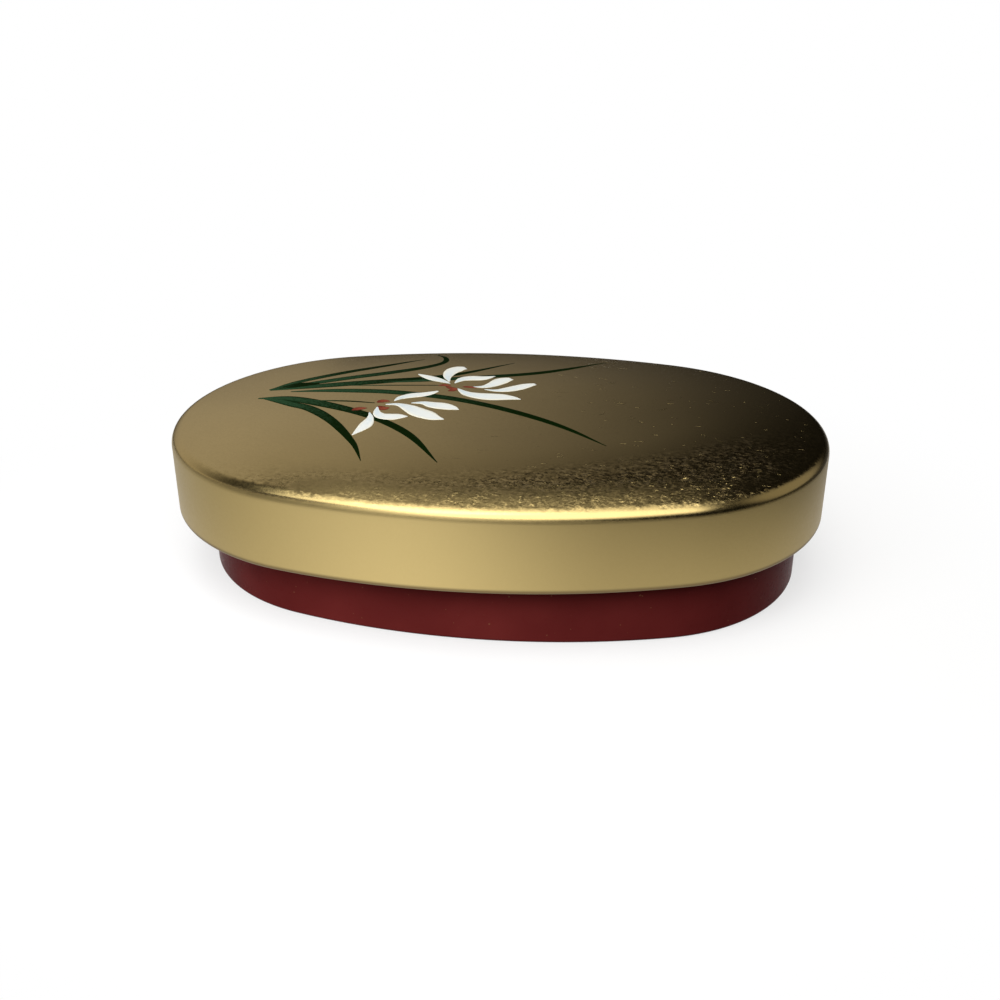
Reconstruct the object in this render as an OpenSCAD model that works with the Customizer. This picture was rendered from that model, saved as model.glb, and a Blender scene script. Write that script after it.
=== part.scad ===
// Oval box with a loose covering lid.
// The lid is a crowned top board glued on a hoop, and it hangs over the base's own hoop.
// The base is a hoop with a floor board let into its foot. Sizes are in millimetres.

/* [Lid] */
// Length of the lid
lid_l = 120; // [111:0.6:135]
// Width of the lid
lid_w = 79.8; // [72:0.6:90]
// Height of the lid's side, from its lip to its top edge
lid_h = 14.4; // [12:0.1:20]
// Thickness of the top board at its edge
top_t = 3; // [2.6:0.1:4]
// Radius of the rounded top edge
edge_r = 2.2; // [1:0.1:2.5]
// Rise of the crown above the top edge
crown_rise = 1.2; // [0.6:0.1:2]
// Distance over which the crown rises before it levels out
crown_run = 26; // [20:1:28]
// Thickness of the lid's hoop
hoop_t = 2.6; // [2:0.1:2.9]
// Radius of the lid's rounded lip
lip_r = 0.6; // [0.3:0.1:0.9]
// Depth of the step under the top board that sits inside the hoop
step_d = 1; // [0.6:0.1:2]

/* [Base] */
// Height of the base that shows below the lid
base_show = 11.8; // [8:0.1:18]
// How far the lid stands out past the base all round
overhang = 4.9; // [4.6:0.1:6]
// Thickness of the base's hoop
wall_t = 2.8; // [2.4:0.1:3.5]
// Radius of the rounded foot and rim of the base's hoop
rim_r = 0.7; // [0.4:0.1:1]
// Thickness of the floor board
floor_t = 2.5; // [2:0.1:4]
// Width of the ledge that the floor board is let into
ledge_w = 1.3; // [1:0.1:1.6]

/* [Fit] */
// Room for glue round the floor board and round the top board's step
glue_gap = 0.1; // [0.05:0.05:0.3]
// Turn of the loose lid on its base, in degrees
lid_turn = 2.4; // [-3:0.1:3]
// How far the base lies from the middle of the loose lid, along its length
base_shift = 0.8; // [-0.8:0.05:0.8]

/* [Hidden] */
$fn = 96;

// The outline is an oval of four arcs: two round ends and two long flanks.
// They meet on lines through their centres that run 7 across and 24 along for every 25 of length,
// whole numbers that keep the centres and radii short and the arcs exactly tangent.
across = 7;
along = 24;
slant = 25;
unit_step = 0.005;
unit = round((lid_l - lid_w) / (2 * (across + along - slant)) / unit_step) * unit_step;
end_x = across * unit;
flank_y = along * unit;
end_r = lid_l / 2 - end_x;
flank_r = end_r + slant * unit;

// A board is a ring swept round the oval with a plate in its level middle that laps onto the ring
lap = 4;
ring_w = crown_run + lap;
plate_in = crown_run + lap / 2;
// How far a cutting shape stands out of what it cuts
spare = 1;

// Heights above the surface that the box stands on
lip_z = base_show;
edge_z = lip_z + lid_h;
crown_z = edge_z + crown_rise;
board_z = edge_z - top_t;
ceiling_z = board_z - step_d;
rim_z = ceiling_z;

// The crown is an arc that is level at crown_run, and the edge arc touches it from inside
crown_r = (crown_run * crown_run + crown_rise * crown_rise) / (2 * crown_rise);
crown_arc_z = crown_z - crown_r;
edge_reach = crown_run - edge_r;
edge_arc_z = crown_arc_z + sqrt((crown_r - edge_r) * (crown_r - edge_r) - edge_reach * edge_reach);
crown_angle = atan2(edge_arc_z - crown_arc_z, edge_reach);

// Straight steps that stand for each arc of a section
edge_steps = 12;
crown_steps = 8;
round_steps = 5;
plate_steps = 5;
plate_turn = 75;

// Insets from the lid's outline
base_out = overhang;
base_in = overhang + wall_t;
ledge_in = base_in - ledge_w;
floor_out = ledge_in + glue_gap;
step_out = hoop_t + glue_gap;

gold = [0.72, 0.61, 0.40];
red = [0.38, 0.13, 0.14];

// Sweeps a section round the oval: x is 0 at the lid's outline and negative inwards, y is the height
module sweep_oval() {
    size = ceil(flank_r / along) + 1;
    corner = size * [across, along];
    for (side = [0, 180]) rotate(side) {
        translate([end_x, 0]) swept_arc(end_r, [[0, 0], [corner.x, -corner.y], corner]) children();
        translate([0, -flank_y]) swept_arc(flank_r, [[0, 0], corner, [-corner.x, corner.y]]) children();
    }
}

// Turns a section about an arc's centre and keeps what lies in a wedge from that centre
module swept_arc(radius, wedge) {
    intersection() {
        rotate_extrude() translate([radius, 0]) children();
        translate([0, 0, -spare]) linear_extrude(crown_z + 2 * spare) polygon(wedge);
    }
}

// Fills the level middle of a board between two heights
module plate(bottom, top) {
    flank = [0, lid_w / 2 - plate_in];
    end = arc([end_x, 0], end_r - plate_in, -plate_turn, plate_turn, plate_steps);
    translate([0, 0, bottom]) linear_extrude(top - bottom)
        polygon(concat(end, [flank], -end, [-flank]));
}

// Points along an arc, from one angle to another
function arc(centre, radius, from, to, steps) = [
    for (i = [0 : steps]) let (a = from + (to - from) * i / steps)
        [centre[0] + radius * cos(a), centre[1] + radius * sin(a)]
];

// Section of the top board: rounded edge, crown, level middle and the step that locates it in the hoop
module top_board_section() {
    crown = arc([-crown_run, crown_arc_z], crown_r, crown_angle, 90, crown_steps);
    polygon(concat(
        [[0, board_z]],
        arc([-edge_r, edge_arc_z], edge_r, 0, crown_angle, edge_steps),
        [for (i = [1 : crown_steps]) crown[i]],
        [[-ring_w, crown_z], [-ring_w, ceiling_z], [-step_out, ceiling_z], [-step_out, board_z]]
    ));
}

// Section of the lid's hoop, with both edges of its lip rounded
module lid_hoop_section() {
    polygon(concat(
        [[0, board_z]],
        arc([-lip_r, lip_z + lip_r], lip_r, 0, -90, round_steps),
        arc([-hoop_t + lip_r, lip_z + lip_r], lip_r, -90, -180, round_steps),
        [[-hoop_t, board_z]]
    ));
}

// Section of the base's hoop, with a ledge for the floor board and its foot and rim rounded
module base_hoop_section() {
    polygon(concat(
        arc([-base_out - rim_r, rim_r], rim_r, 0, -90, round_steps),
        [[-ledge_in, 0], [-ledge_in, floor_t], [-base_in, floor_t]],
        arc([-base_in + rim_r, rim_z - rim_r], rim_r, 180, 90, round_steps),
        arc([-base_out - rim_r, rim_z - rim_r], rim_r, 90, 0, round_steps)
    ));
}

// Section of the floor board
module floor_board_section() {
    translate([-ring_w, 0]) square([ring_w - floor_out, floor_t]);
}

module lid_top_board() {
    color(gold) rotate(lid_turn) {
        sweep_oval() top_board_section();
        plate(ceiling_z, crown_z);
    }
}

module lid_hoop() {
    color(gold) rotate(lid_turn) sweep_oval() lid_hoop_section();
}

module base_hoop() {
    color(red) translate([base_shift, 0]) sweep_oval() base_hoop_section();
}

module base_floor_board() {
    color(red) translate([base_shift, 0]) {
        sweep_oval() floor_board_section();
        plate(0, floor_t);
    }
}

lid_top_board();
lid_hoop();
base_hoop();
base_floor_board();
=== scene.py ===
"""Looks of the oval gold-leafed trinket box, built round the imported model.

Lengths are in millimetres, in the solids' frame, and become metres when a mesh is made. Only the
lamps, the camera and the floor's radius are in metres.
"""
import math
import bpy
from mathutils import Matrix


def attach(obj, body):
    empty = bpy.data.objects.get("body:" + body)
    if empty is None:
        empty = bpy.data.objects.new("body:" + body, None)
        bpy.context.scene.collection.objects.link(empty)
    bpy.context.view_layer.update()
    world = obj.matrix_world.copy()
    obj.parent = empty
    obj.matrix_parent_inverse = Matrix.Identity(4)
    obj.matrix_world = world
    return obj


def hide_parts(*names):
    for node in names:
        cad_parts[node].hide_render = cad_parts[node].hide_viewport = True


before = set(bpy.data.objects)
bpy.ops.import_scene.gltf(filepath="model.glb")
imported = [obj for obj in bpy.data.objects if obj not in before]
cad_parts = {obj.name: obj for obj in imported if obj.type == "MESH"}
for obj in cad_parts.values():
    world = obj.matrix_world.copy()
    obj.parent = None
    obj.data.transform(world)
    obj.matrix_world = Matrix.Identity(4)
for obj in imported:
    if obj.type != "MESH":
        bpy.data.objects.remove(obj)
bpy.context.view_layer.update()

from types import SimpleNamespace

import bpy
from mathutils import Matrix, Vector

scene = bpy.context.scene
MM_PER_M = 1000

# Driving sizes, the same as the solids have
LID_L, LID_W, LID_H = 120.0, 79.8, 14.4
TOP_T, STEP_D = 3.0, 1.0
EDGE_R, CROWN_RISE, CROWN_RUN = 2.2, 1.2, 26.0
HOOP_T, LIP_R, GLUE_GAP = 2.6, 0.6, 0.1
BASE_SHOW, OVERHANG, WALL_T = 11.8, 4.9, 2.8
RIM_R, FLOOR_T, LEDGE_W = 0.7, 2.5, 1.3
LID_TURN, BASE_SHIFT = 2.4, 0.8

# Heights above the surface that the box stands on
LIP_Z = BASE_SHOW
EDGE_Z = LIP_Z + LID_H
CROWN_Z = EDGE_Z + CROWN_RISE
BOARD_Z = EDGE_Z - TOP_T
CEILING_Z = BOARD_Z - STEP_D

# Insets from the lid's outline
STEP_OUT = HOOP_T + GLUE_GAP
BASE_OUT = OVERHANG
BASE_IN = BASE_OUT + WALL_T
LEDGE_IN = BASE_IN - LEDGE_W
CEILING_IN = 30.0  # where one face closes the level middle of the lid's ceiling

# The oval's four arcs meet on lines that run 7 across and 24 along for every 25 of length
ACROSS, ALONG, SLANT = 7, 24, 25
UNIT = (LID_L - LID_W) / (2 * (ACROSS + ALONG - SLANT))
END_X, FLANK_Y = ACROSS * UNIT, ALONG * UNIT
END_R = LID_L / 2 - END_X
FLANK_R = END_R + SLANT * UNIT
JOINT = math.atan2(ALONG, ACROSS)

# The crown's arc and the edge's arc that touches it
CROWN_R = (CROWN_RUN ** 2 + CROWN_RISE ** 2) / (2 * CROWN_RISE)
CROWN_ARC_Z = CROWN_Z - CROWN_R
EDGE_ARC_Z = CROWN_ARC_Z + math.sqrt((CROWN_R - EDGE_R) ** 2 - (CROWN_RUN - EDGE_R) ** 2)
CROWN_ANGLE = math.atan2(EDGE_ARC_Z - CROWN_ARC_Z, CROWN_RUN - EDGE_R)

# Straight steps that stand for each arc
END_STEPS, FLANK_STEPS = 96, 48
EDGE_STEPS, CROWN_STEPS, ROUND_STEPS = 18, 14, 8


# Shapes

def outline():
    """The oval, anticlockwise. A point is (centre x, centre y, radius, normal x, normal y)."""
    out = []
    for side in (1, -1):
        for i in range(END_STEPS):
            a = -JOINT + 2 * JOINT * i / END_STEPS
            out.append((side * END_X, 0.0, END_R, side * math.cos(a), side * math.sin(a)))
        for i in range(FLANK_STEPS):
            a = JOINT + (math.pi - 2 * JOINT) * i / FLANK_STEPS
            out.append((0.0, -side * FLANK_Y, FLANK_R, side * math.cos(a), side * math.sin(a)))
    return out


def arc(inset, height, radius, start, end, steps):
    """Section points (inset, height) of an arc, with angles in degrees from straight outwards."""
    angles = [math.radians(start + (end - start) * i / steps) for i in range(steps + 1)]
    return [(inset - radius * math.cos(a), height + radius * math.sin(a)) for a in angles]


def lid_place(x, y):
    """Where a point of the lid lies, with the loose lid turned as in the photo."""
    a = math.radians(LID_TURN)
    return x * math.cos(a) - y * math.sin(a), x * math.sin(a) + y * math.cos(a)


def base_place(x, y):
    """Where a point of the base lies, beside the loose lid's middle as in the photo."""
    return x + BASE_SHIFT, y


def inset_of(x, y):
    """How far a point of the lid lies inside its outline."""
    x, y = abs(x), abs(y)
    if x > END_X and y * ACROSS <= (x - END_X) * ALONG:
        return END_R - math.hypot(x - END_X, y)
    return FLANK_R - math.hypot(x, y + FLANK_Y)


def top_height(x, y):
    """Height of the lid's top at a point of the lid."""
    d = inset_of(x, y)
    if d >= CROWN_RUN:
        return CROWN_Z
    a = math.acos((CROWN_RUN - d) / CROWN_R)
    if a >= CROWN_ANGLE:
        return CROWN_ARC_Z + CROWN_R * math.sin(a)
    return EDGE_ARC_Z + math.sqrt(max(0.0, EDGE_R ** 2 - (EDGE_R - d) ** 2))


def add_mesh(name, verts, faces):
    """A smooth object from points in millimetres."""
    mesh = bpy.data.meshes.new(name)
    mesh.from_pydata([[c / MM_PER_M for c in v] for v in verts], [], faces)
    mesh.polygons.foreach_set("use_smooth", [True] * len(faces))
    obj = bpy.data.objects.new(name, mesh)
    scene.collection.objects.link(obj)
    return obj


def loft(name, section, place, slots, closed, creases):
    """Sweeps a section round the oval. slots gives the material of the band after each of the
    section's points, creases the points that make a sharp corner. An open section is capped."""
    ring = outline()
    n, m = len(ring), len(section)
    verts = [(*place(cx + (r - inset) * nx, cy + (r - inset) * ny), z)
             for inset, z in section for cx, cy, r, nx, ny in ring]
    faces, mats = [], []
    for i in range(m if closed else m - 1):
        k = (i + 1) % m
        for j in range(n):
            h = (j + 1) % n
            faces.append((i * n + j, i * n + h, k * n + h, k * n + j))
            mats.append(slots[i])
    if not closed:
        faces += [tuple(reversed(range(n))), tuple(range((m - 1) * n, m * n))]
        mats += [slots[0], slots[-1]]
    obj = add_mesh(name, verts, faces)
    obj.data.polygons.foreach_set("material_index", mats)
    sharp = {frozenset((c * n + j, c * n + (j + 1) % n)) for c in creases for j in range(n)}
    for e in obj.data.edges:
        if frozenset(e.vertices) in sharp:
            e.use_edge_sharp = True
    obj.data.validate()
    return obj


# Node materials

class Graph:
    """Short names for building a node tree."""

    def __init__(self, tree):
        self.tree = tree
        tree.nodes.clear()

    def add(self, kind, inputs, **settings):
        node = self.tree.nodes.new("ShaderNode" + kind)
        for key, value in settings.items():
            setattr(node, key, value)
        for key, value in inputs.items():
            if isinstance(value, bpy.types.NodeSocket):
                self.tree.links.new(value, node.inputs[key])
            else:
                node.inputs[key].default_value = value
        return node

    def math(self, operation, a, b=0.0, clamp=False):
        node = self.add("Math", {0: a, 1: b}, operation=operation, use_clamp=clamp)
        return node.outputs[0]

    def product(self, first, *others):
        for value in others:
            first = self.math("MULTIPLY", first, value)
        return first

    def total(self, first, *others):
        for value in others:
            first = self.math("ADD", first, value)
        return first

    def vector(self, operation, a, b=(0, 0, 0)):
        node = self.add("VectorMath", {0: a, 1: b}, operation=operation)
        return node.outputs["Value" if operation in ("DOT_PRODUCT", "LENGTH") else "Vector"]

    def scaled(self, vector, amount):
        node = self.add("VectorMath", {0: vector, "Scale": amount}, operation="SCALE")
        return node.outputs["Vector"]

    def ramp(self, value, low, high, to_low=0.0, to_high=1.0):
        """to_low where the value is low, to_high where it is high, and a smooth step between."""
        inputs = {0: value, 1: low, 2: high, 3: to_low, 4: to_high}
        return self.add("MapRange", inputs, interpolation_type="SMOOTHSTEP").outputs[0]

    def mix(self, factor, a, b):
        return self.add("Mix", {0: factor, 6: a, 7: b}, data_type="RGBA").outputs[2]

    def noise(self, where, scale, detail, roughness, distortion=0.0, output="Fac"):
        inputs = {"Vector": where, "Scale": scale, "Detail": detail, "Roughness": roughness,
                  "Distortion": distortion}
        return self.add("TexNoise", inputs).outputs[output]

    def stretched(self, where, turn, scale):
        """The place turned about the upright axis, in degrees, and scaled."""
        inputs = {"Vector": where, "Rotation": (0, 0, math.radians(turn)), "Scale": scale}
        return self.add("Mapping", inputs).outputs[0]

    def bump(self, height, distance):
        inputs = {"Strength": 1.0, "Distance": distance, "Height": height}
        return self.add("Bump", inputs).outputs[0]

    def millimetres(self):
        """Where a point lies on the object, in millimetres."""
        place = self.add("TexCoord", {}).outputs["Object"]
        return self.vector("MULTIPLY", place, (MM_PER_M, MM_PER_M, MM_PER_M))

    def split(self, vector):
        return self.add("SeparateXYZ", {0: vector}).outputs[:]

    def surface(self, shader):
        self.add("OutputMaterial", {"Surface": shader.outputs[0]})


def material(name):
    mat = bpy.data.materials.new(name)
    mat.use_nodes = True
    return mat, Graph(mat.node_tree)


def colour(r, g, b):
    return (r, g, b, 1.0)


# Gold leaf

TOP_DULL, TOP_BRIGHT = colour(0.43, 0.32, 0.13), colour(0.54, 0.414, 0.175)
# The side's pale tone is painted light: brightest left of the middle, dulling towards both ends.
SIDE_DULL, SIDE_LIT_PAINTED = colour(0.44, 0.332, 0.136), colour(0.68, 0.523, 0.223)
SIDE_PAINTED_LIGHT_X, SIDE_PAINTED_LIGHT_REACH = -10.0, 36
# Painted shade on the leaf's lower lip, darkest at its bottom
LIP_PAINTED_SHADE = colour(0.17, 0.12, 0.06)
SIDE_ROUGH, TOP_ROUGH = 0.42, 0.2
HAZE_ROUGH, MARK_ROUGH, GRAIN_ROUGH = 0.27, 0.2, 0.03
LEAF_RELIEF, GRAIN_RELIEF, MARK_RELIEF = 0.0001, 0.03, 0.3
SHOULDER_LEAN = 0.14
CREASE_HALF_WIDTH = 0.008
HAIRLINE_TURN, HAIRLINE_SCALE = -20, (0.3, 2.6, 0.3)
FLECK_TURN, FLECK_SCALE = 14, (1.15, 1.5, 1.3)
FLECKS_WIDEN = 0.17  # how fast their area widens inwards along the length


def leaf_fields(g):
    """What the leaf's colour, roughness and normal share. Insets are from the front flank's arc."""
    f = SimpleNamespace(where=g.millimetres())
    f.x, _, f.z = g.split(f.where)
    _, _, f.facing = g.split(g.add("NewGeometry", {}).outputs["Normal"])
    flank_centre = (*lid_place(0.0, FLANK_Y), 0.0)
    f.from_flank = g.vector("SUBTRACT", g.vector("MULTIPLY", f.where, (1, 1, 0)), flank_centre)
    f.inset = g.math("SUBTRACT", FLANK_R, g.vector("LENGTH", f.from_flank))
    # The side's satin reaches higher up the rolled edge towards the left
    satin = g.ramp(f.x, 48, -20, 0.0, 0.36)
    f.up = g.ramp(g.math("SUBTRACT", f.facing, satin), 0.03, 0.33)
    f.flat = g.ramp(f.facing, 0.72, 0.93)
    f.middle = g.product(f.flat, g.ramp(f.x, -40, -14), g.ramp(f.x, 48, 22))
    f.grain = g.noise(f.where, 2.2, 2.0, 0.6)
    f.marks = leaf_marks(g, f)
    return f


def leaf_marks(g, f):
    """Broken creases and stray hairlines on the top, towards the right."""
    fold = g.math("SUBTRACT", g.noise(f.where, 0.09, 2.0, 0.5, distortion=0.6), 0.5)
    line = g.ramp(g.math("ABSOLUTE", fold), CREASE_HALF_WIDTH, 0.0)
    broken = g.ramp(g.noise(f.where, 0.22, 2.0, 0.5), 0.56, 0.68)
    crease = g.product(line, broken, g.ramp(f.x, -5, 35), f.flat)
    drawn_out = g.stretched(f.where, HAIRLINE_TURN, HAIRLINE_SCALE)
    hairline = g.ramp(g.noise(drawn_out, 1.0, 2.0, 0.6), 0.705, 0.765)
    return g.math("MAXIMUM", crease, g.product(hairline, g.ramp(f.x, -20, 30), f.flat))


def leaf_tone(g, f):
    """Cloudy top, painted shade to its right and on the lip, painted light left of the side's
    middle.
    """
    cloud = g.noise(f.where, 0.035, 3.0, 0.55)
    # Random cloud, plus painted shade that darkens the top towards the right
    cloud_and_painted_light = g.total(g.ramp(cloud, 0.3, 0.7, 0.0, 0.35), g.ramp(f.x, 45, -30, 0.0, 0.65))
    top = g.mix(cloud_and_painted_light, TOP_DULL, TOP_BRIGHT)
    # Painted light on the side, brightest a little left of the middle of the length
    from_side_painted_light = g.math("ABSOLUTE", g.math("SUBTRACT", f.x, SIDE_PAINTED_LIGHT_X))
    side = g.mix(g.ramp(from_side_painted_light, SIDE_PAINTED_LIGHT_REACH, 0), SIDE_DULL, SIDE_LIT_PAINTED)
    # Painted shade: the leaf darkens towards the bottom of the lip
    lip_painted_shade = g.ramp(f.z, LIP_Z + 1.1, LIP_Z + 0.5, 0.0, 0.85)
    return g.mix(lip_painted_shade, g.mix(f.up, side, top), LIP_PAINTED_SHADE)


def leaf_roughness(g, f):
    """Satin on the side and smoother on top, with a haze along the middle of the front."""
    haze = g.product(g.ramp(f.inset, 12, 2), f.middle)
    return g.total(g.ramp(f.up, 0.0, 1.0, SIDE_ROUGH, TOP_ROUGH),
                   g.ramp(f.grain, 0.25, 0.75, -GRAIN_ROUGH, GRAIN_ROUGH),
                   g.product(haze, HAZE_ROUGH), g.product(f.marks, MARK_ROUGH))


def leaf_flecks(g, f):
    """Leans of the crumpled leaf, in patches along the front that grow towards the right."""
    front = g.ramp(g.math("SUBTRACT", f.inset, g.product(f.x, FLECKS_WIDEN)), 17, 3)
    patchy = g.ramp(g.noise(f.where, 0.26, 5.0, 0.72), 0.4, 0.6, 0.35, 1.0)
    area = g.product(front, g.ramp(f.x, 54, 38, 0.25, 1.0), patchy, f.flat)
    depth = g.product(g.ramp(f.x, -55, 10, 0.6, 2.1), g.ramp(f.inset, 0.5, 3, 0.5, 1.0),
                      g.ramp(f.x, 25, 45, 1.0, 1.35))
    drawn_out = g.stretched(f.where, FLECK_TURN, FLECK_SCALE)
    crumple = g.noise(drawn_out, 1.0, 3.0, 0.8, output="Color")
    return g.scaled(g.vector("SUBTRACT", crumple, (0.5, 0.5, 0.5)), g.product(area, depth))


def leaf_normal(g, f):
    """Grain, marks and flecks. The front shoulder leans outwards, the left end's edge upwards."""
    height = g.total(g.product(f.grain, GRAIN_RELIEF), g.product(f.marks, MARK_RELIEF))
    shoulder = g.product(g.ramp(f.inset, 8, 1.5), f.middle, SHOULDER_LEAN)
    outward = g.scaled(g.vector("NORMALIZE", f.from_flank), shoulder)
    at_left = g.product(g.ramp(f.x, -33, -45), g.ramp(f.facing, 0.42, 0.72))
    upward = g.add("CombineXYZ", {"Z": at_left}).outputs[0]
    leaned = g.vector("ADD", g.bump(height, LEAF_RELIEF), outward)
    leaned = g.vector("ADD", leaned, g.vector("ADD", leaf_flecks(g, f), upward))
    return g.vector("NORMALIZE", leaned)


def gold_leaf():
    mat, g = material("gold_leaf_on_lacquer")
    f = leaf_fields(g)
    g.surface(g.add("BsdfPrincipled", {
        "Base Color": leaf_tone(g, f), "Metallic": 1.0, "Roughness": leaf_roughness(g, f),
        "Normal": leaf_normal(g, f)}))
    return mat


# Lacquer and paint

RED_DARK, RED_WARM = colour(0.084, 0.0089, 0.0089), colour(0.163, 0.0222, 0.0204)
# Painted light: the red is brightest round this place along the length and darker towards the ends
RED_PAINTED_LIGHT_X = -4.0
SPECK, SPECK_SHARE = colour(0.31, 0.144, 0.072), 0.5
LACQUER_RELIEF, PAINT_RELIEF = 0.00001, 0.000006


def red_lacquer():
    """Cloudy red with painted light near the middle of the length, fine ripples and pale specks."""
    mat, g = material("red_lacquer_on_wood")
    where = g.millimetres()
    x, _, _ = g.split(where)
    cloud = g.noise(where, 0.05, 3.0, 0.6)
    fine = g.noise(where, 0.9, 3.0, 0.6)
    speck = g.ramp(g.noise(where, 1.3, 1.0, 0.4), 0.76, 0.8)
    from_red_painted_light = g.math("ABSOLUTE", g.math("SUBTRACT", x, RED_PAINTED_LIGHT_X))
    # Random cloud, plus painted light that brightens the red near the middle of the length
    cloud_and_painted_light = g.total(g.ramp(cloud, 0.3, 0.7, 0.0, 0.4), g.ramp(from_red_painted_light, 62, 6, 0.0, 0.6))
    tone = g.mix(g.product(speck, SPECK_SHARE), g.mix(cloud_and_painted_light, RED_DARK, RED_WARM), SPECK)
    height = g.total(g.product(fine, 0.4), g.noise(where, 0.22, 2.0, 0.5))
    g.surface(g.add("BsdfPrincipled", {
        "Base Color": tone, "Roughness": g.ramp(fine, 0.25, 0.75, 0.25, 0.36),
        "Specular IOR Level": 0.015, "Normal": g.bump(height, LACQUER_RELIEF)}))
    return mat


def stroke_paint(name, root, tip, rim, roughness):
    """Brushed paint that goes from one colour at a stroke's root to another at its tip, with its
    own rim. The strokes' meshes say how far along and across a point lies."""
    mat, g = material(name)
    along = g.add("Attribute", {}, attribute_name="along").outputs["Fac"]
    across = g.add("Attribute", {}, attribute_name="across").outputs["Fac"]
    streak = g.noise(g.millimetres(), 2.2, 2.0, 0.6)
    spread = g.ramp(g.total(along, g.ramp(streak, 0.3, 0.7, -0.12, 0.12)), 0.0, 0.65)
    tone = g.mix(g.ramp(across, 0.45, 0.95, 0.0, 0.85), g.mix(spread, root, tip), rim)
    rough = g.ramp(streak, 0.25, 0.75, roughness - 0.06, roughness + 0.08)
    g.surface(g.add("BsdfPrincipled", {
        "Base Color": tone, "Roughness": rough, "Specular IOR Level": 0.01,
        "Normal": g.bump(streak, PAINT_RELIEF)}))
    return mat


gold = gold_leaf()
red = red_lacquer()
green = stroke_paint("leaf_green_paint", root=colour(0.017, 0.046, 0.020),
                     tip=colour(0.0018, 0.0078, 0.0004), rim=colour(0.0018, 0.0096, 0.0007),
                     roughness=0.5)
white = stroke_paint("petal_white_paint", root=colour(0.53, 0.60, 0.63),
                     tip=colour(0.66, 0.68, 0.66), rim=colour(0.71, 0.69, 0.58), roughness=0.45)
rust = stroke_paint("heart_rust_paint", root=colour(0.12, 0.020, 0.012),
                    tip=colour(0.20, 0.048, 0.026), rim=colour(0.084, 0.017, 0.011),
                    roughness=0.45)


# The box

GOLD, RED = 0, 1  # places in the lid's list of materials


def dress(obj, body, slot, materials, *nodes):
    for mat in materials:
        obj.data.materials.append(mat)
    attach(obj, body)
    if nodes:
        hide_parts(*nodes)


def lid_top():
    """Top board: leaf on the edge and crown, red on the ceiling and its step."""
    crown_start = math.degrees(CROWN_ANGLE)
    under = [(CEILING_IN, CEILING_Z), (STEP_OUT, CEILING_Z), (STEP_OUT, BOARD_Z), (0.0, BOARD_Z)]
    edge = arc(EDGE_R, EDGE_ARC_Z, EDGE_R, 0, crown_start, EDGE_STEPS)
    crown = arc(CROWN_RUN, CROWN_ARC_Z, CROWN_R, crown_start, 90, CROWN_STEPS)
    section = under + edge + crown[1:]
    slots = [RED] * 2 + [GOLD] * (len(section) - 2)
    obj = loft("lid_top_leafed", section, lid_place, slots, closed=False, creases=(1, 2, 3))
    dress(obj, "lid", "gold_leaf", (gold, red), "lid_top_board")


def lid_side():
    """Lid's hoop: leaf outside and round the lip, red inside."""
    outer_lip = arc(LIP_R, LIP_Z + LIP_R, LIP_R, 0, -90, ROUND_STEPS)
    inner_lip = arc(HOOP_T - LIP_R, LIP_Z + LIP_R, LIP_R, -90, -180, ROUND_STEPS)
    section = [(0.0, BOARD_Z)] + outer_lip + inner_lip + [(HOOP_T, BOARD_Z)]
    slots = [GOLD] * ROUND_STEPS + [RED] * (len(section) - ROUND_STEPS)
    corners = (0, len(section) - 1)
    obj = loft("lid_side_leafed", section, lid_place, slots, closed=True, creases=corners)
    dress(obj, "lid", "gold_leaf", (gold, red), "lid_hoop")


def base_wall():
    """Tray's hoop, with the ledge for the floor board."""
    foot = arc(BASE_OUT + RIM_R, RIM_R, RIM_R, 0, -90, ROUND_STEPS)
    ledge = [(LEDGE_IN, 0.0), (LEDGE_IN, FLOOR_T), (BASE_IN, FLOOR_T)]
    rim_in = arc(BASE_IN - RIM_R, CEILING_Z - RIM_R, RIM_R, 180, 90, ROUND_STEPS)
    rim_out = arc(BASE_OUT + RIM_R, CEILING_Z - RIM_R, RIM_R, 90, 0, ROUND_STEPS)
    section = foot + ledge + rim_in + rim_out
    corners = range(len(foot), len(foot) + len(ledge))
    obj = loft("base_wall_lacquered", section, base_place, [0] * len(section), closed=True,
               creases=corners)
    dress(obj, "base", "red_lacquer", (red,), "base_hoop")


lid_top()
lid_side()
base_wall()
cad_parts["base_floor_board"].material_slots[0].material = red


# The painted spray, a film of brush strokes on the lid's top

STROKE_ROWS = (-1.0, -0.8, -0.4, 0.0, 0.4, 0.8, 1.0)  # places across a stroke, in half widths
LEAST_HALF_WIDTH = 0.02
FILM_CROWN = 0.008  # how much thicker the film is along a stroke's middle
FILM_STEP = 0.0004  # how much higher each stroke lies than the one before
FILM_ROOT = 0.03    # how far a stroke's sides reach down into the leaf
BLADE_LIFT, PETAL_LIFT, HEART_LIFT = 0.006, 0.02, 0.018  # height of a film's rim over the leaf


def smooth_path(points, steps):
    """Points along a smooth curve through the given ones."""
    pts = [Vector(p) for p in points]
    pts = [pts[0] * 2 - pts[1]] + pts + [pts[-1] * 2 - pts[-2]]
    out = []
    spans = len(pts) - 3
    for i in range(steps + 1):
        u = spans * i / steps
        k = min(int(u), spans - 1)
        t = u - k
        a, b, c, d = pts[k:k + 4]
        out.append(0.5 * ((2 * b) + (c - a) * t + (2 * a - 5 * b + 4 * c - d) * t * t
                          + (3 * b - a - 3 * c + d) * t ** 3))
    return out


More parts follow.
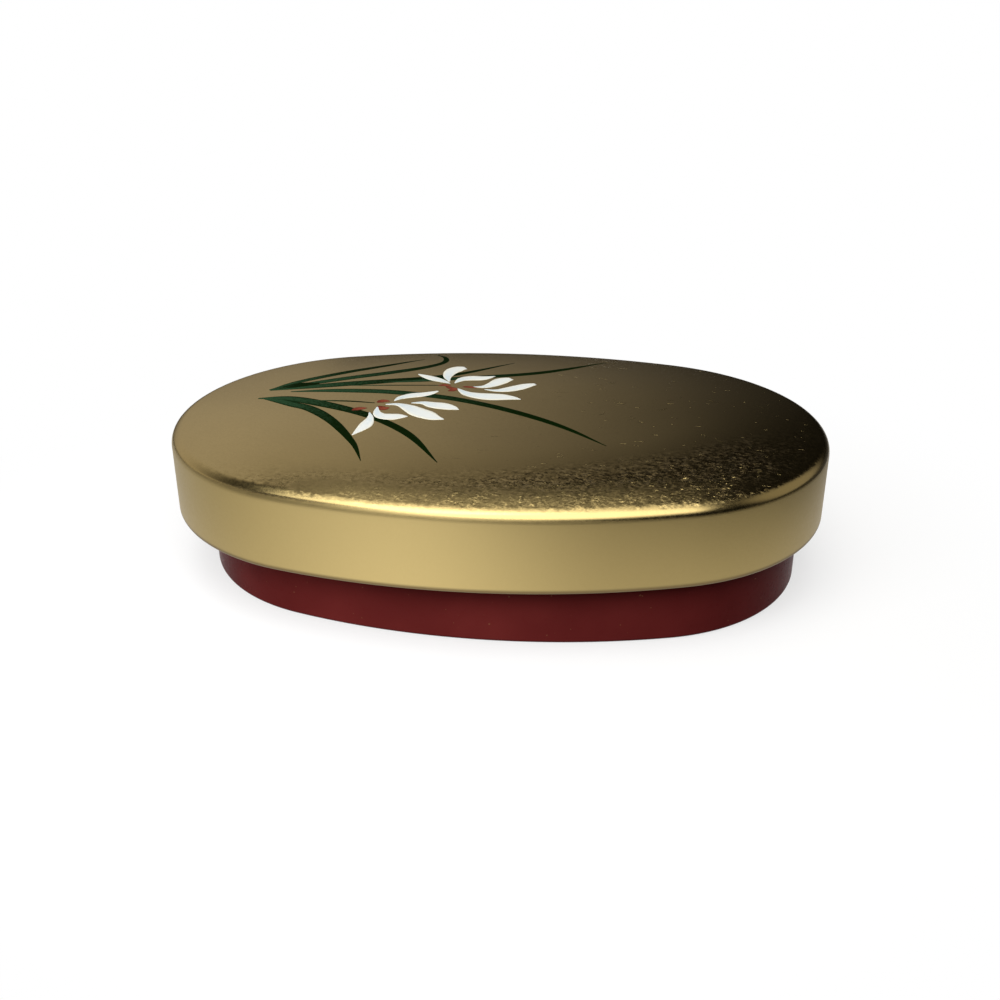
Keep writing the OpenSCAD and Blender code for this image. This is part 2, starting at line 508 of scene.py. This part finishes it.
def strokes(name, mat, lift, items):
    """One mesh of closed strokes. An item is (points on the lid, half widths, steps)."""
    verts, faces, along, across = [], [], [], []

    def add_point(place, film, share, row):
        x, y = place
        verts.append((*lid_place(x, y), top_height(x, y) + film))
        along.append(share)
        across.append(abs(row))

    n = len(STROKE_ROWS) + 2
    for number, (points, widths, steps) in enumerate(items):
        path = smooth_path(points, steps)
        wide = smooth_path([(w, 0.0) for w in widths], steps)
        first = len(verts)
        for i, p in enumerate(path):
            ahead = path[min(i + 1, steps)] - path[max(i - 1, 0)]
            side = Vector((-ahead.y, ahead.x)).normalized() * max(LEAST_HALF_WIDTH, wide[i].x)
            for s in STROKE_ROWS:
                film = lift + FILM_CROWN * (1 - s * s) + FILM_STEP * number
                add_point(p + side * s, film, i / steps, s)
            for s in (1.0, -1.0):
                add_point(p + side * s, -FILM_ROOT, i / steps, s)
        for i in range(steps):
            a, b = first + i * n, first + (i + 1) * n
            faces += [(a + j, b + j, b + (j + 1) % n, a + (j + 1) % n) for j in range(n)]
        faces.append(tuple(first + j for j in range(n)))
        faces.append(tuple(first + steps * n + j for j in reversed(range(n))))
    obj = add_mesh(name, verts, faces)
    for key, values in (("along", along), ("across", across)):
        obj.data.attributes.new(key, "FLOAT", "POINT").data.foreach_set("value", values)
    dress(obj, "lid", "gold_leaf", (mat,))


strokes("painted_blades", green, BLADE_LIFT, [
    (((-45.4, 9.3), (-41.2, 14.0), (-33.0, 20.6), (-25.0, 26.3), (-18.2, 31.5)),
     (0.2, 0.8, 0.85, 0.6, 0.08), 48),
    (((-43.7, 10.2), (-37.6, 13.6), (-30.0, 17.8), (-23.6, 21.2), (-17.4, 25.2), (-13.9, 29.2),
      (-14.0, 33.0), (-16.1, 35.4)),
     (0.2, 0.9, 1.05, 1.0, 0.85, 0.65, 0.5, 0.1), 64),
    (((-45.3, 9.0), (-37.8, 11.3), (-30.5, 13.5), (-22.9, 15.8), (-16.0, 18.1), (-8.4, 22.2),
      (0.9, 30.2)),
     (0.2, 1.1, 1.3, 1.25, 1.0, 0.7, 0.08), 64),
    (((-24.0, 14.8), (-15.0, 17.0), (-5.4, 19.6), (4.0, 22.5), (11.0, 26.2), (19.8, 32.8)),
     (0.2, 0.9, 0.9, 0.85, 0.7, 0.08), 56),
    (((-41.0, 8.2), (-32.0, 9.3), (-21.8, 9.4), (-11.0, 7.3), (-2.4, 3.8), (6.0, -1.2),
      (13.0, -6.8), (20.0, -14.2)),
     (0.2, 0.95, 1.1, 1.05, 0.95, 0.85, 0.6, 0.08), 72),
    (((-46.4, 4.4), (-40.6, 4.4), (-34.4, 2.3), (-27.0, -1.2), (-20.6, -5.7), (-14.2, -12.7),
      (-8.1, -23.4)),
     (0.25, 1.2, 1.45, 1.2, 1.0, 0.8, 0.08), 64),
    (((-45.8, 4.5), (-42.4, 3.2), (-38.8, 1.2), (-35.7, -0.4), (-32.8, -2.9), (-29.7, -6.6),
      (-27.2, -10.4), (-25.0, -14.2), (-23.1, -17.9), (-21.0, -23.6)),
     (0.15, 0.95, 1.2, 1.2, 1.2, 1.05, 0.9, 0.7, 0.48, 0.06), 72),
    (((-45.6, 9.3), (-43.7, 10.4), (-40.7, 11.8), (-36.6, 13.7)), (0.2, 0.9, 1.7, 0.5), 32),
    (((-36.0, 3.4), (-29.0, 3.7), (-23.6, 3.2)), (0.12, 0.3, 0.28, 0.14), 24),
    (((-30.0, 12.4), (-21.0, 13.3), (-12.0, 14.0)), (0.12, 0.22, 0.2, 0.14), 24),
])

strokes("painted_petals", white, PETAL_LIFT, [
    (((-10.8, 15.2), (-12.7, 16.7), (-14.4, 17.8), (-16.1, 19.1), (-17.9, 20.5)),
     (0.12, 0.8, 1.1, 0.85, 0.15), 28),
    (((-11.1, 16.3), (-11.8, 19.3), (-11.5, 22.6), (-10.4, 24.7), (-8.9, 25.6)),
     (0.1, 0.85, 1.45, 1.6, 0.9), 28),
    (((-9.9, 15.5), (-8.8, 17.8), (-7.0, 18.8), (-4.7, 19.0), (-2.3, 20.4)),
     (0.1, 0.95, 1.35, 1.15, 0.12), 28),
    (((-6.0, 13.6), (-3.9, 13.9), (-2.3, 15.4), (-0.7, 17.8), (1.0, 19.2)),
     (0.12, 0.7, 1.25, 1.6, 0.8), 28),
    (((-3.7, 12.4), (-1.5, 11.9), (0.7, 12.6), (2.8, 14.0), (4.4, 15.3), (6.0, 16.3)),
     (0.12, 0.55, 1.15, 1.35, 1.1, 0.5), 32),
    (((-9.0, 12.4), (-7.1, 10.0), (-5.0, 8.9), (-2.5, 8.4), (-0.1, 8.4), (2.2, 8.0), (3.7, 7.4)),
     (0.12, 0.95, 1.4, 1.75, 1.6, 0.85, 0.1), 36),
    (((-20.1, 4.6), (-19.2, 6.3), (-17.3, 7.7), (-15.2, 8.5), (-13.7, 9.5), (-12.5, 10.6)),
     (0.1, 0.75, 1.15, 1.1, 0.75, 0.2), 32),
    (((-16.7, 3.7), (-14.5, 4.0), (-12.5, 3.1), (-10.6, 2.6), (-8.8, 1.8), (-7.4, 1.0)),
     (0.12, 0.75, 1.45, 1.6, 1.1, 0.12), 32),
    (((-21.4, 2.6), (-19.0, 2.7), (-16.9, 1.3), (-14.9, -0.7), (-13.1, -2.1), (-11.4, -3.4),
      (-9.5, -4.2)),
     (0.2, 0.65, 1.4, 1.9, 1.9, 1.3, 0.12), 36),
    (((-22.7, 1.2), (-22.3, -1.6), (-21.2, -3.3), (-19.5, -3.7), (-17.9, -3.4), (-16.3, -3.3)),
     (0.1, 0.7, 1.25, 1.5, 1.2, 0.12), 32),
    (((-23.7, -1.7), (-23.0, -4.4), (-23.1, -7.8), (-23.7, -10.3), (-24.6, -13.0)),
     (0.08, 0.6, 1.2, 0.85, 0.08), 28),
])

strokes("painted_hearts", rust, HEART_LIFT, [
    (((-12.9, 13.8), (-11.7, 14.2), (-10.4, 13.7)), (0.1, 0.45, 0.5, 0.1), 16),
    (((-11.4, 13.4), (-10.1, 12.5), (-8.9, 12.3)), (0.1, 0.5, 0.55, 0.1), 16),
    (((-10.6, 10.9), (-9.6, 11.6), (-8.8, 12.4)), (0.15, 0.6, 0.5, 0.1), 16),
    (((-8.1, 13.5), (-6.9, 13.5), (-5.2, 13.1)), (0.1, 0.4, 0.4, 0.08), 16),
    (((-23.2, 3.5), (-22.2, 4.3), (-20.9, 4.3)), (0.2, 0.75, 0.65, 0.15), 16),
    (((-22.7, 1.5), (-21.6, 0.5), (-20.4, 0.9)), (0.25, 0.95, 0.85, 0.2), 16),
    (((-27.1, -1.0), (-26.0, -0.1), (-24.5, 0.4)), (0.2, 0.75, 0.65, 0.1), 16),
])


# Studio

WHITE = colour(1, 1, 1)
FLOOR_RADIUS_M = 12
PAPER_UNLIT, PAPER_LIT = colour(0.05, 0.05, 0.05), colour(0.86, 0.86, 0.86)
MIRRORED_WHITE = 0.83  # strength of the white floor in the leaf
AMBIENT = (0.005, 0.0048, 0.0046)
LEFT_GLOW, RIGHT_WALL = (-0.96, -0.12, 0.25), (0.9, 0.25, 0.36)  # directions

# The camera was fitted to the box's outline in the photo
IMAGE_PX, FOCAL_PX, SENSOR_MM, CLIP_START_M = 1000, 1150, 36.0, 0.01
CAMERA_PLACE = (0.025832, -0.197019, 0.103832)
CAMERA_AHEAD = (-0.115647, 0.896081, -0.428562)


def light_path(g):
    """The light path's outputs, and 1 for the rays that see the plain white set itself."""
    rays = g.add("LightPath", {}).outputs
    return rays, g.math("MAXIMUM", rays["Is Camera Ray"], rays["Is Transmission Ray"])


def pale_floor():
    """White paper. To the camera it turns into plain white away from the box, so that the shadow
    stays beside it. To mirrored and bounced rays it is dimmer past the box's ends and goes over
    into the unlit part of the room, in front at the right and beyond the right end."""
    bpy.ops.mesh.primitive_circle_add(vertices=96, radius=FLOOR_RADIUS_M, fill_type="NGON")
    obj = bpy.context.object
    obj.name = "studio_floor"
    mat, g = material("studio_floor_white")
    where = g.millimetres()
    x, y, _ = g.split(where)
    rays, seen = light_path(g)
    ahead = g.math("SUBTRACT", g.product(x, 0.55), g.product(y, 0.8))
    in_front = g.product(g.ramp(ahead, 38, 140), g.ramp(x, -80, 10))
    unlit = g.math("MAXIMUM", in_front, g.ramp(x, 70, 130))
    paper = g.math("SUBTRACT", 1.0, unlit)
    ends = g.ramp(g.math("ABSOLUTE", x), 45, 100, 1.0, 0.5)

    dimmed = g.product(rays["Is Diffuse Ray"], g.ramp(ahead, 10, 80, 0.75, 1.0))
    bright = g.product(ends, g.math("SUBTRACT", paper, dimmed, clamp=True))
    tone = g.mix(g.math("MAXIMUM", seen, bright), PAPER_UNLIT, PAPER_LIT)
    lit = g.add("BsdfDiffuse", {"Color": tone})

    strength = g.ramp(seen, 0, 1, MIRRORED_WHITE, 1.0)
    plain = g.add("Emission", {"Color": WHITE, "Strength": strength})
    mirrored = g.product(rays["Is Glossy Ray"], paper, ends)
    away = g.ramp(g.vector("LENGTH", where), 48, 120, 0.6, 1.0)
    share = g.product(g.math("MAXIMUM", seen, mirrored), away)
    g.surface(g.add("MixShader", {0: share, 1: lit.outputs[0], 2: plain.outputs[0]}))
    obj.data.materials.append(mat)


def studio_world():
    """A dim room, which the camera sees as a white backdrop. A tall window in front runs on
    overhead, a lit wall stands behind at the left, and both sides have a dim patch of light."""
    world = bpy.data.worlds.new("studio")
    scene.world = world
    world.use_nodes = True
    g = Graph(world.node_tree)
    towards = g.add("TexCoord", {}).outputs["Generated"]
    x, y, z = g.split(towards)

    def window(right, left):
        """Light between two slanted limits, each (slant, where it is dark, where it is full), in
        slopes from overhead. It fades towards the back and near the horizon."""
        high = g.math("MAXIMUM", z, 0.05)
        across, back = g.math("DIVIDE", x, high), g.math("DIVIDE", y, high)
        height = g.total(z, g.product(g.math("ABSOLUTE", x), -0.15))
        amount = g.product(g.ramp(back, 0.75, 0.15), g.ramp(height, 0.2, 0.6))
        for slant, dark, full in (right, left):
            place = g.total(across, g.product(back, slant))
            amount = g.product(amount, g.ramp(place, dark, full))
        return amount

    def wall_behind():
        left = g.ramp(g.total(x, g.product(z, 0.45)), 0.37, -0.25)
        tall = g.product(g.ramp(z, 0.05, 0.4), g.ramp(z, 0.75, 0.45))
        return g.product(g.ramp(y, -0.1, 0.35), left, tall)

    def patch(centre, dark, full):
        """Light round a direction, with the cosines at which it is dark and full."""
        return g.ramp(g.vector("DOT_PRODUCT", towards, centre), dark, full)

    lights = (
        (window(right=(0.85, 0.66, 0.1), left=(-0.25, -0.9, 0.1)), (1.08, 1.07, 1.05)),
        (window(right=(0.85, 0.52, 0.1), left=(-0.2, -0.55, -0.1)), (1.91, 1.90, 1.86)),
        (wall_behind(), (0.583, 0.537, 0.467)),
        (patch(LEFT_GLOW, dark=0.8, full=0.98), (0.25, 0.24, 0.235)),
        (patch(RIGHT_WALL, dark=0.82, full=0.97), (0.40, 0.38, 0.34)),
    )
    light = AMBIENT
    for amount, tone in lights:
        light = g.vector("ADD", light, g.scaled(tone, amount))
    room = g.add("Background", {"Color": light, "Strength": 1.0})
    backdrop = g.add("Background", {"Color": WHITE, "Strength": 1.0})
    _, seen = light_path(g)
    both = g.add("MixShader", {0: seen, 1: room.outputs[0], 2: backdrop.outputs[0]})
    g.add("OutputWorld", {"Surface": both.outputs[0]})


def soft_panel(name, size, energy, place, target, mirrored):
    """A square lamp. One that isn't mirrored lights the box and leaves no patch in the leaf."""
    data = bpy.data.lights.new(name, "AREA")
    data.size = size
    data.energy = energy
    obj = bpy.data.objects.new(name, data)
    scene.collection.objects.link(obj)
    obj.location = place
    obj.visible_glossy = mirrored
    obj.rotation_euler = (Vector(target) - Vector(place)).to_track_quat("-Z", "Y").to_euler()


def camera():
    data = bpy.data.cameras.new("camera")
    data.sensor_width = SENSOR_MM
    data.lens = SENSOR_MM * FOCAL_PX / IMAGE_PX
    data.clip_start = CLIP_START_M
    obj = bpy.data.objects.new("camera", data)
    scene.collection.objects.link(obj)
    ahead = Vector(CAMERA_AHEAD).normalized()
    right = ahead.cross(Vector((0, 0, 1))).normalized()
    up = right.cross(ahead)
    turn = Matrix((right, up, -ahead)).transposed().to_4x4()
    obj.matrix_world = Matrix.Translation(CAMERA_PLACE) @ turn
    scene.camera = obj


pale_floor()
studio_world()
soft_panel("panel_above", size=0.2, energy=0.208, place=(-0.10, -0.14, 0.30),
           target=(-0.04, -0.07, 0), mirrored=True)
soft_panel("panel_low", size=0.09, energy=0.158, place=(-0.095, -0.15, 0.115),
           target=(-0.015, -0.04, 0.01), mirrored=False)
camera()
scene.view_settings.view_transform = "Standard"
